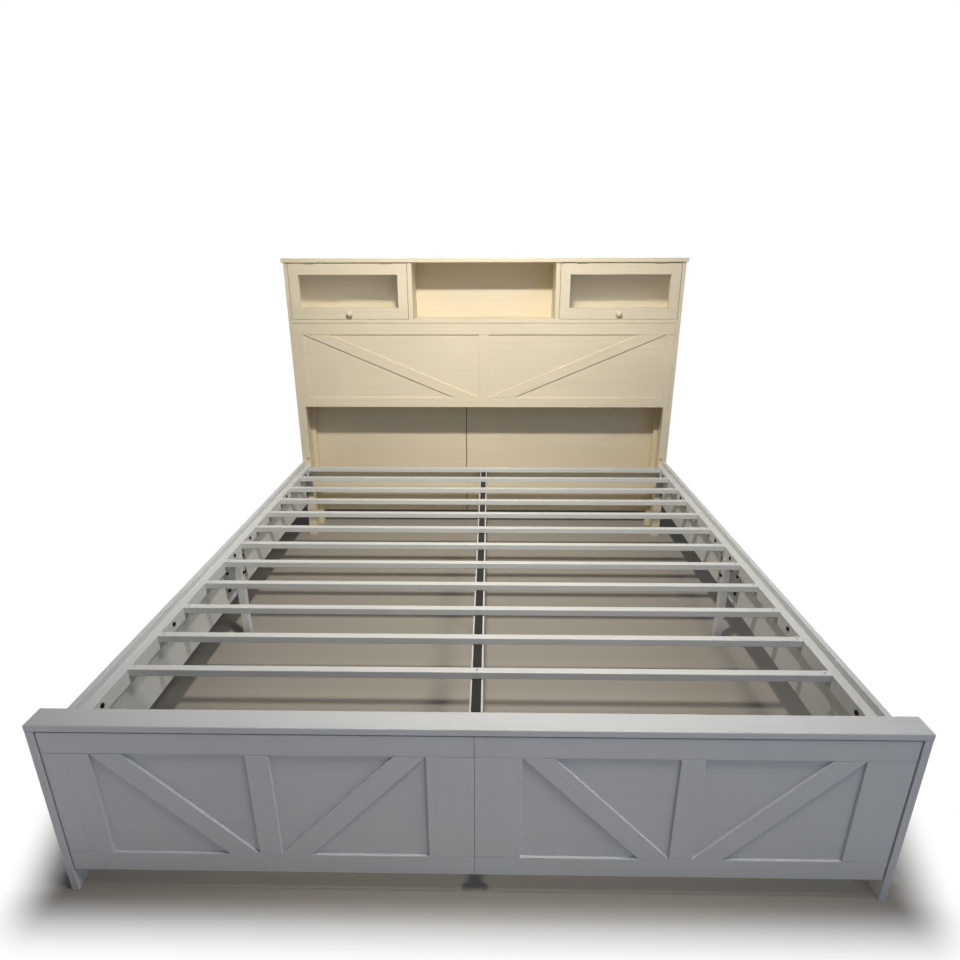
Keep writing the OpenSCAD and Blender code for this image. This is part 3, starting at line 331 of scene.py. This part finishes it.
black_enamel = moulded("black_enamelled_steel", "#1F1F1E", rough=0.30, grit=0.004, depth=0.0001, coat=0.4)
black_plastic = moulded("black_moulded_plastic", "#1C1C1B", rough=0.48, grit=0.0015, depth=0.0002)
cream_plastic = moulded("cream_moulded_plastic", "#E4D8BB", rough=0.36, grit=0.0020, depth=0.0001)
cream_enamel = moulded("cream_enamelled_knob", "#EADFC4", rough=0.22, grit=0.0060, depth=0.0001, coat=0.5)
foam = moulded("black_foam_tape", "#211F1C", rough=0.86, grit=0.0025, depth=0.0012)
dress(black_enamel, "stay_left_cylinder", "stay_right_cylinder")
dress(black_plastic, "leg_feet")
dress(cream_plastic, "cable_grommet")
dress(cream_enamel, "door_left_knob", "door_right_knob")
dress(foam, "beam_tape")
print("moulded and enamelled:", black_enamel.name, black_plastic.name, cream_plastic.name, cream_enamel.name)

# %% [markdown]
# ## Window glass
# The panes are clear float glass, 4 mm thick. Over so short a way its green hardly shows, so its tint is
# almost neutral. A lamp shines through a window in reality, but a renderer that traces light backwards
# finds the lamp hard to hit through a refracting pane, and the cabinet would stay dark. So for shadow rays
# alone the pane counts as open, a little tinted.

# %% Glass
RIPPLES_PER_METRE = 9.0
RIPPLE_DEPTH = 0.002


def window_glass():
    """Clear float glass that lets the lamp's light into the cabinet."""
    material = empty_material("clear_float_glass")
    place = add(material, "ShaderNodeTexCoord").outputs["Object"]
    ripple = add(material, "ShaderNodeTexNoise", {"Vector": place, "Scale": RIPPLES_PER_METRE, "Detail": 1.0})
    bump = add(material, "ShaderNodeBump",
               {"Height": ripple.outputs[0], "Strength": 0.05, "Distance": RIPPLE_DEPTH})
    pane = add(material, "ShaderNodeBsdfPrincipled",
               {"Base Color": linear("#F3F3EF"), "Roughness": 0.04, "IOR": 1.5, "Transmission Weight": 1.0,
                "Normal": bump.outputs[0]})
    clear = add(material, "ShaderNodeBsdfTransparent", {"Color": linear("#F6F7F5")})
    ray = add(material, "ShaderNodeLightPath")
    mixed = add(material, "ShaderNodeMixShader",
                {0: ray.outputs["Is Shadow Ray"], 1: pane.outputs[0], 2: clear.outputs[0]})
    add(material, "ShaderNodeOutputMaterial", {"Surface": mixed.outputs[0]})
    return material


glass = window_glass()
dress(glass, "door_left_glass", "door_right_glass")
print("made", glass.name)

# %% [markdown]
# ## Finding the solids of a node
# The strips, screws and bolts are modelled anew, each exactly where its CAD solid lies. A node holds
# several of them as loose triangles, so a copy is merged first and then walked from point to point: all
# that can be reached is one solid. Its lowest and highest corners then say where the new piece goes, and no
# place is typed in twice.

# %% Solids of a node
SAME_POINT = 1e-6


def solids_of(name):
    """The points of each separate solid in a CAD node, in a fixed order."""
    mesh = bmesh.new()
    mesh.from_mesh(nodes[name].data)
    bmesh.ops.remove_doubles(mesh, verts=mesh.verts, dist=SAME_POINT)
    mesh.verts.index_update()
    mesh.verts.ensure_lookup_table()
    seen, groups = set(), []
    for first in range(len(mesh.verts)):
        if first in seen:
            continue
        seen.add(first)
        group, ahead = [], [first]
        while ahead:
            vert = mesh.verts[ahead.pop()]
            group.append(vert.co.copy())
            for edge in vert.link_edges:
                other = edge.other_vert(vert).index
                if other not in seen:
                    seen.add(other)
                    ahead.append(other)
        groups.append(group)
    mesh.free()
    return groups


def corners(points):
    """Lowest and highest corner of a group of points."""
    low = Vector([min(p[axis] for p in points) for axis in range(3)])
    high = Vector([max(p[axis] for p in points) for axis in range(3)])
    return low, high


print("solids in the headboard's strips:", len(solids_of("head_panel_trim")))

# %% [markdown]
# ## The applied strips
# A farmhouse panel is a flat board with 6 mm strips glued to it: two level ones that run through, uprights
# between them, and a diagonal in each opening. Each strip is cut, eased with sandpaper and painted, so its
# front edges are round by about a millimetre, and a hairline of shadow stays where two meet. Its back edges
# lie tight on the board and stay sharp: paint fills that joint, and the strip's upper side shows as one
# bright line. A strip starts as a block of its size. The edges that don't lie on the board are picked by
# their place, and a bevel stands for the sandpaper. Its width is given in metres, because the strip is thin
# next to its length.

# %% Boards from blocks
EASED = 0.0014
EASE_STEPS = 3
SMOOTH_ANGLE = math.radians(35)


def only(piece):
    """Makes a piece the one selected and active object."""
    bpy.ops.object.select_all(action="DESELECT")
    piece.select_set(True)
    bpy.context.view_layer.objects.active = piece


def block(name, low, high):
    """A plain block between two corners, with its place in its mesh."""
    bpy.ops.object.select_all(action="DESELECT")
    bpy.ops.mesh.primitive_cube_add(size=1.0, location=(low + high) / 2, scale=high - low)
    piece = bpy.context.object
    piece.name = name
    piece.data.name = name
    bpy.ops.object.transform_apply(location=True, rotation=True, scale=True)
    return piece


def ease(strip):
    """Rounds a strip's edges, except those that lie on the board behind it."""
    only(strip)
    bpy.ops.object.mode_set(mode="EDIT")
    bpy.ops.mesh.select_all(action="DESELECT")
    edit = bmesh.from_edit_mesh(strip.data)
    back = max(vert.co.y for vert in edit.verts)
    for edge in edit.edges:
        edge.select_set(min(vert.co.y for vert in edge.verts) < back - EASED)
    bmesh.update_edit_mesh(strip.data)
    bpy.ops.mesh.bevel(offset=EASED, offset_type="OFFSET", segments=EASE_STEPS, affect="EDGES")
    bpy.ops.object.mode_set(mode="OBJECT")


def shade(piece):
    """Shades round edges as round, and keeps large flat faces flat."""
    only(piece)
    bpy.ops.object.shade_smooth_by_angle(angle=SMOOTH_ANGLE)
    weigh = piece.modifiers.new("flat faces lead", "WEIGHTED_NORMAL")
    weigh.keep_sharp = True
    bpy.ops.object.modifier_apply(modifier=weigh.name)


def finish_piece(piece, material, slot, body, *stands_for):
    """Shades and paints a new piece, hides the CAD nodes that it stands for and lets it ride on its body."""
    shade(piece)
    piece.data.materials.clear()
    piece.data.materials.append(material)
    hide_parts(*stands_for)
    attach(piece, body)


print("a strip's edge is eased by", EASED * 1000, "mm in", EASE_STEPS, "steps")

# %% [markdown]
# ## Diagonals
# A diagonal fills its opening from corner to corner. The joiner lays a long strip across, marks it against
# the frame, and saws it off flush. So does this cell: a strip longer than it need be is turned to its lean,
# moved to the corner, and cut by the four sides of the opening. Its grain leans with it, and for that it
# has its own paint.

# %% Diagonals
DIAGONAL_W = 0.052
HAIRLINE = 0.0004
SPARE = 0.060


def lean_of(width, height):
    """The angle at which a diagonal strip lies flush with two corners of an opening."""
    return math.atan2(height, width) + math.asin(DIAGONAL_W / math.hypot(width, height))


def saw(piece, place, away):
    """Cuts off all of a piece that lies beyond a plane, and closes the cut."""
    only(piece)
    bpy.ops.object.mode_set(mode="EDIT")
    bpy.ops.mesh.select_all(action="SELECT")
    bpy.ops.mesh.bisect(plane_co=place, plane_no=away, use_fill=True, clear_outer=True)
    bpy.ops.object.mode_set(mode="OBJECT")


def diagonal_strip(name, low, high, falls_right):
    """A strip across the opening between two corners. The corners already leave the hairline."""
    width, height = high.x - low.x + 2 * HAIRLINE, high.z - low.z + 2 * HAIRLINE
    lean = lean_of(width, height)
    length = math.hypot(width, height)
    under = 0.0 if falls_right else -DIAGONAL_W
    far_corner = Vector((length + SPARE, high.y - low.y, under + DIAGONAL_W))
    strip = block(name, Vector((-SPARE, 0, under)), far_corner)
    ease(strip)
    corner_x = low.x - HAIRLINE if falls_right else high.x + HAIRLINE
    strip.rotation_euler = (0, lean if falls_right else math.pi - lean, 0)
    strip.location = (corner_x, low.y, high.z + HAIRLINE)
    only(strip)
    bpy.ops.object.transform_apply(location=True, rotation=True, scale=True)
    for place, away in ((low, (-1, 0, 0)), (low, (0, 0, -1)), (high, (1, 0, 0)), (high, (0, 0, 1))):
        saw(strip, place, away)
    return strip, lean


print("a diagonal's width is", DIAGONAL_W * 1000, "mm")

# %% [markdown]
# ## The three panels
# The headboard's panel and the foot's two panels follow one scheme, so one function reads a node's solids,
# tells level, upright and slanted strips apart by their proportions, and makes each. The two slants of a
# panel mirror each other: the left one falls to the right, and the right one falls to the left.

# %% Strips of the panels
LEVEL_MOST = 0.075
UPRIGHT_MOST = 0.150


def strips(node, prefix, finish, paint, pore, slot):
    """Makes all strips of a panel in place of its CAD node, and returns them."""
    made = []
    slants = 0
    boxes = sorted((corners(points) for points in solids_of(node)), key=lambda box: (box[0].x, box[0].z))
    for i, (low, high) in enumerate(boxes):
        if high.z - low.z < LEVEL_MOST:
            strip, material = block(f"{prefix}_level_{i}", low, high), finish[0]
            ease(strip)
        elif high.x - low.x < UPRIGHT_MOST:
            strip, material = block(f"{prefix}_upright_{i}", low, high), finish[1]
            ease(strip)
        else:
            falls_right = slants == 0
            strip, lean = diagonal_strip(f"{prefix}_diagonal_{i}", low, high, falls_right)
            turn = (0, lean if falls_right else math.pi - lean, 0)
            material = painted_board(f"{prefix}_diagonal_paint_{i}", paint, pore, turn)
            slants += 1
        finish_piece(strip, material, slot, "bed", node)
        made.append(strip)
    return made


# The headboard's strips take the cream with its painted warm light.
head_finish = (cream_and_warm_light_level, cream_and_warm_light_upright)
foot_finish = (white_level, white_upright)
head_strips = strips("head_panel_trim", "head_strip", head_finish, CREAM_AND_WARM_LIGHT, CREAM_AND_WARM_LIGHT_PORE, "cream_paint")
left_strips = strips("foot_trim_left", "foot_left_strip", foot_finish, WHITE, WHITE_PORE, "white_paint")
right_strips = strips("foot_trim_right", "foot_right_strip", foot_finish, WHITE, WHITE_PORE, "white_paint")
print("strips:", [s.name for s in head_strips + left_strips + right_strips])

# %% [markdown]
# ## Screws and bolts
# The slats are held by countersunk cross-recess screws, flush with the tube so that they don't rub the
# mattress. The brackets have low round heads, and the ledges and plates have black button-head bolts with a
# hexagon socket. The posts have the same bolt in brass plate. Each kind is modelled once, pointing up, with
# the top of its head at a known height, and then copied to each CAD screw. The recess is cut with a Boolean
# modifier, because it is what a punch does to the real head.

# %% Fasteners
HEAD_SIDES = 24
SCREW_R = 0.0025
SCREW_HEAD_R = 0.0045
SCREW_HEAD_H = 0.0020
BOLT_R = 0.0040
BOLT_HEAD_R = 0.0070
BOLT_HEAD_H = 0.0040
SHANK = 0.010
SCREW_DOME, BOLT_DOME = 0.0012, 0.0022
SUNK_RECESS = {"reach": 0.0026, "arm": 0.0006, "depth": 0.0014}
ROUND_RECESS = {"reach": 0.0024, "arm": 0.0006, "depth": 0.0012}
SOCKET_R, SOCKET_DEPTH = 0.0029, 0.0022
JUST_OVER, JUST_UNDER = 1.001, 0.999
RIM_ANGLE = math.radians(60)


def turned(name, shank_r, head_r, under_r, head_h, dome):
    """A shank with a head on top. The head's upper face lies at zero, and dome rounds its rim."""
    bpy.ops.object.select_all(action="DESELECT")
    bpy.ops.mesh.primitive_cylinder_add(vertices=HEAD_SIDES, radius=shank_r, depth=SHANK,
                                        location=(0, 0, -head_h - SHANK / 2))
    piece = bpy.context.object
    piece.name = name
    bpy.ops.object.transform_apply(location=True, rotation=True, scale=True)
    bpy.ops.object.mode_set(mode="EDIT")
    bpy.ops.mesh.select_all(action="DESELECT")
    edit = bmesh.from_edit_mesh(piece.data)
    for face in edit.faces:
        face.select_set(face.normal.z > 0.9)
    bmesh.update_edit_mesh(piece.data)
    bpy.ops.mesh.extrude_region_move(TRANSFORM_OT_translate={"value": (0, 0, 0)})
    bpy.ops.transform.resize(value=(under_r / shank_r, under_r / shank_r, 1))
    bpy.ops.mesh.extrude_region_move(TRANSFORM_OT_translate={"value": (0, 0, head_h)})
    bpy.ops.transform.resize(value=(head_r / under_r, head_r / under_r, 1))
    bpy.ops.object.mode_set(mode="OBJECT")
    if dome:
        only(piece)
        rim = piece.modifiers.new("rounded rim", "BEVEL")
        rim.width = dome
        rim.segments = 3
        rim.limit_method = "ANGLE"
        rim.angle_limit = RIM_ANGLE
        bpy.ops.object.modifier_apply(modifier=rim.name)
    return piece


def punch(piece, cutters):
    """Cuts each cutter out of a piece, and removes the cutter."""
    for cutter in cutters:
        only(piece)
        cut = piece.modifiers.new("recess", "BOOLEAN")
        cut.object = cutter
        cut.solver = "EXACT"
        bpy.ops.object.modifier_apply(modifier=cut.name)
        bpy.data.objects.remove(cutter)
    return piece


def cross_cutters(reach, arm, depth):
    """Two crossed blocks, for a cross recess."""
    return [block("cutter", Vector((-x, -y, -depth)), Vector((x, y, depth)))
            for x, y in ((reach, arm), (arm, reach))]


def hexagon_cutter(radius, depth):
    """A six-sided block, for a hexagon socket."""
    bpy.ops.object.select_all(action="DESELECT")
    bpy.ops.mesh.primitive_cylinder_add(vertices=6, radius=radius, depth=2 * depth)
    return bpy.context.object


sunk_blank = turned("sunk_screw", SCREW_R, SCREW_HEAD_R, SCREW_R * JUST_OVER, SCREW_HEAD_H, 0)
sunk_screw = punch(sunk_blank, cross_cutters(**SUNK_RECESS))
round_blank = turned("round_screw", SCREW_R, SCREW_HEAD_R, SCREW_HEAD_R * JUST_UNDER, SCREW_HEAD_H,
                     SCREW_DOME)
round_screw = punch(round_blank, cross_cutters(**ROUND_RECESS))
bolt_blank = turned("socket_bolt", BOLT_R, BOLT_HEAD_R, BOLT_HEAD_R * JUST_UNDER, BOLT_HEAD_H, BOLT_DOME)
socket_bolt = punch(bolt_blank, [hexagon_cutter(SOCKET_R, SOCKET_DEPTH)])
print("fasteners:", [(p.name, len(p.data.polygons)) for p in (sunk_screw, round_screw, socket_bolt)])

# %% [markdown]
# ## A fastener for each CAD screw
# A screw's solid is long along its axis and wide at its head. So the longest side of its box is the axis,
# and the end where the points lie furthest from the axis is the head. The copy is turned to that, its shank
# is drawn out to the real length, and a small turn about its axis is drawn at random, because no two screws
# stop at one angle.

# %% Copies at their places
END_FACE = 1e-4


def head_of(points):
    """The middle of a fastener's head face, the direction in which it looks, and the fastener's length."""
    low, high = corners(points)
    size = high - low
    axis = max(range(3), key=lambda i: size[i])
    middle = (low + high) / 2

    def spread(end):
        near = [p for p in points if abs(p[axis] - end) < END_FACE]
        return max(max(abs(p[i] - middle[i]) for i in range(3) if i != axis) for p in near)

    at_high = spread(high[axis]) > spread(low[axis])
    out = Vector((0, 0, 0))
    out[axis] = 1.0 if at_high else -1.0
    middle[axis] = high[axis] if at_high else low[axis]
    return middle, out, size[axis]


def place_copies(name, pattern_for, groups, material, slot, *stands_for):
    """Copies a pattern to each fastener, and joins the copies into one piece."""
    bpy.ops.object.select_all(action="DESELECT")
    copies = []
    for points in groups:
        middle, out, length = head_of(points)
        pattern = pattern_for(out)
        copy = bpy.data.objects.new(name, pattern.data.copy())
        bpy.context.collection.objects.link(copy)
        for vert in copy.data.vertices:
            if vert.co.z < -SHANK:
                vert.co.z = -length
        spin = Matrix.Rotation(random.uniform(0, math.pi), 4, "Z")
        facing = Vector((0, 0, 1)).rotation_difference(out).to_matrix().to_4x4()
        copy.data.transform(Matrix.Translation(middle) @ facing @ spin)
        copies.append(copy)
    for copy in copies:
        copy.select_set(True)
    bpy.context.view_layer.objects.active = copies[0]
    bpy.ops.object.join()
    piece = bpy.context.object
    piece.name = name
    finish_piece(piece, material, slot, "bed", *stands_for)


screw_groups = solids_of("deck_screws")
place_copies("deck_screw_set", lambda out: sunk_screw if out.z > 0.5 else round_screw, screw_groups, zinc,
             "zinc_steel", "deck_screws")
rail_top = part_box("rail_left_head")[1].z
bolt_groups = solids_of("rail_bolts")
post_bolt_groups = [points for points in bolt_groups if corners(points)[0].z > rail_top]
bolt_groups = [points for points in bolt_groups if corners(points)[0].z <= rail_top]
place_copies("rail_bolt_set", lambda out: socket_bolt, bolt_groups, black_steel, "black_steel", "rail_bolts")
place_copies("post_bolt_set", lambda out: socket_bolt, post_bolt_groups, brass, "nickel_steel", "rail_bolts")
leg_bolt_groups = solids_of("mid_leg_bolts")
place_copies("mid_leg_bolt_set", lambda out: socket_bolt, leg_bolt_groups, black_steel, "black_steel",
             "mid_leg_bolts")
for pattern in (sunk_screw, round_screw, socket_bolt):
    bpy.data.objects.remove(pattern)
print("screws and bolts:", len(screw_groups), len(bolt_groups), len(post_bolt_groups), len(leg_bolt_groups))

# %% [markdown]
# ## Floor and background
# The bed stands on a plain pale floor. Round the bed the floor is white, as in a studio, and under it the
# real shade of the bed stays. For that the floor has two faces: a diffuse one, which takes shadows, near
# the bed, and a white one for camera, mirror and glass rays, further out. A soft edge joins the two. Behind
# the foot it starts a hand's width out, where the rails hide it from the camera, so that the floor seen
# between the slats has one tone. It also starts further out behind the headboard, because that floor is seen
# through the gap under the back boards, where the headboard's own shade is dark.

# %% Floor and world
FLOOR_SIZE = 24.0
SHADE_SIDE = 0.16
SHADE_GROWS = 0.50
SHADE_EDGE = 0.17
SHADE_BACK = 0.22
FILL_STRENGTH = 0.10


def seen_by_eye(material):
    """1 for what the eye sees, also in a mirror or through glass, and 0 for light on its way to a surface."""
    ray = add(material, "ShaderNodeLightPath")
    seen = add(material, "ShaderNodeMath", {0: ray.outputs["Diffuse Depth"], 1: 0.5}, operation="LESS_THAN")
    return seen.outputs[0]


def floor_material(half_x, half_y):
    """A pale floor that keeps the bed's shade near its outline, and is plain white further out."""
    material = empty_material("pale_floor")
    half_shade = half_y + SHADE_BACK / 2
    place = add(material, "ShaderNodeTexCoord").outputs["Object"]
    moved = add(material, "ShaderNodeVectorMath", {0: place, 1: (0, SHADE_BACK / 2, 0)}, operation="SUBTRACT")
    axes = add(material, "ShaderNodeSeparateXYZ", {0: moved.outputs[0]})
    side = add(material, "ShaderNodeMapRange", {0: axes.outputs["Y"], 1: -half_shade,
                                                2: SHADE_GROWS - half_shade,
                                                3: half_x, 4: half_x + SHADE_SIDE})
    beyond = []
    for axis, half in (("X", side.outputs[0]), ("Y", half_shade)):
        size = add(material, "ShaderNodeMath", {0: axes.outputs[axis]}, operation="ABSOLUTE")
        past = add(material, "ShaderNodeMath", {0: size.outputs[0], 1: half}, operation="SUBTRACT")
        beyond.append(add(material, "ShaderNodeMath", {0: past.outputs[0], 1: 0.0}, operation="MAXIMUM"))
    flat = add(material, "ShaderNodeCombineXYZ", {0: beyond[0].outputs[0], 1: beyond[1].outputs[0]})
    distance = add(material, "ShaderNodeVectorMath", {0: flat.outputs[0]}, operation="LENGTH")
    away = add(material, "ShaderNodeMapRange",
               {0: distance.outputs["Value"], 1: 0.0, 2: SHADE_EDGE, 3: 0.0, 4: 1.0},
               interpolation_type="SMOOTHSTEP")
    share = add(material, "ShaderNodeMath", {0: away.outputs[0], 1: seen_by_eye(material)},
                operation="MULTIPLY")
    paint = add(material, "ShaderNodeBsdfDiffuse", {"Color": linear("#A9A399")})
    white = add(material, "ShaderNodeEmission", {"Color": linear("#FFFFFF"), "Strength": 1.0})
    mixed = add(material, "ShaderNodeMixShader",
                {0: share.outputs[0], 1: paint.outputs[0], 2: white.outputs[0]})
    add(material, "ShaderNodeOutputMaterial", {"Surface": mixed.outputs[0]})
    return material


bpy.ops.object.select_all(action="DESELECT")
bpy.ops.mesh.primitive_plane_add(size=FLOOR_SIZE, location=(0, 0, 0))
floor = bpy.context.object
floor.name = "floor"
floor.data.materials.append(floor_material(cad_box[1].x, cad_box[1].y))

world = bpy.data.worlds.new("studio")
bpy.context.scene.world = world
world.use_nodes = True
world.node_tree.nodes.clear()
fill = add(world, "ShaderNodeBackground", {"Color": linear("#E6F0FF"), "Strength": FILL_STRENGTH})
backdrop = add(world, "ShaderNodeBackground", {"Color": linear("#FFFFFF"), "Strength": 1.0})
both = add(world, "ShaderNodeMixShader", {0: seen_by_eye(world), 1: fill.outputs[0], 2: backdrop.outputs[0]})
add(world, "ShaderNodeOutputWorld", {"Surface": both.outputs[0]})
print("floor", FLOOR_SIZE, "m wide")

# %% [markdown]
# ## Light
# The shadows tell where the lamps are. The top board throws a sharp shadow about 130 mm down the cubby's
# back, and the panel one of about 180 mm down the niche's, so a small lamp hangs over the bed, 2.7 m up,
# and its beam is turned to the headboard. The foot's front is in shade, but the strips' upper and right
# sides are bright lines. So a second, wider lamp hangs in front of the foot and to the right, and its light
# only grazes the front. A weak, cool light from far off fills the shade.

# %% Lamps
def area_lamp(name, place, target, width, depth, watts, colour, beam):
    """A rectangular lamp that looks at a point, with a beam of so many degrees."""
    data = bpy.data.lights.new(name, "AREA")
    data.shape = "RECTANGLE"
    data.size = width
    data.size_y = depth
    data.energy = watts
    data.color = linear(colour)[:3]
    data.spread = math.radians(beam)
    lamp = bpy.data.objects.new(name, data)
    bpy.context.collection.objects.link(lamp)
    lamp.location = place
    lamp.rotation_euler = (Vector(target) - Vector(place)).to_track_quat("-Z", "Y").to_euler()
    return lamp


area_lamp("ceiling_lamp", place=(0.0, -0.85, 2.70), target=(0.0, 0.96, 0.55), width=0.12, depth=0.12,
          watts=23.5, colour="#FFFAF0", beam=110)
area_lamp("foot_lamp", place=(1.0, -1.60, 2.9), target=(0.0, -1.0, 0.3), width=0.8, depth=0.4,
          watts=6.5, colour="#FFF8EE", beam=76)
area_lamp("front_fill", place=(2.4, -3.6, 2.9), target=(0.0, -1.1, 0.35), width=1.4, depth=1.0,
          watts=17, colour="#A8C8FF", beam=180)

# %% [markdown]
# ## Camera
# The picture was taken with a wide phone lens from a standing person's chest height at the foot of the bed.
# Its place, tilt and lens were worked out from the corners of the cap, the foot and the headboard.

# %% Camera
EYE = (0.0321, -2.2317, 1.4490)
LENS_MM, SENSOR_MM = 22.951, 36.0
TILT_DOWN, TURN_LEFT, ROLL = math.radians(19.304), math.radians(0.940), math.radians(-0.097)

camera = bpy.data.objects.new("camera", bpy.data.cameras.new("camera"))
bpy.context.collection.objects.link(camera)
camera.data.sensor_width = SENSOR_MM
camera.data.lens = LENS_MM
camera.matrix_world = (Matrix.Translation(EYE) @ Matrix.Rotation(TURN_LEFT, 4, "Z")
                       @ Matrix.Rotation(math.pi / 2 - TILT_DOWN, 4, "X") @ Matrix.Rotation(ROLL, 4, "Z"))
bpy.context.scene.camera = camera
bpy.context.scene.view_settings.view_transform = "Standard"
print("camera at", [round(c, 3) for c in camera.matrix_world.translation])
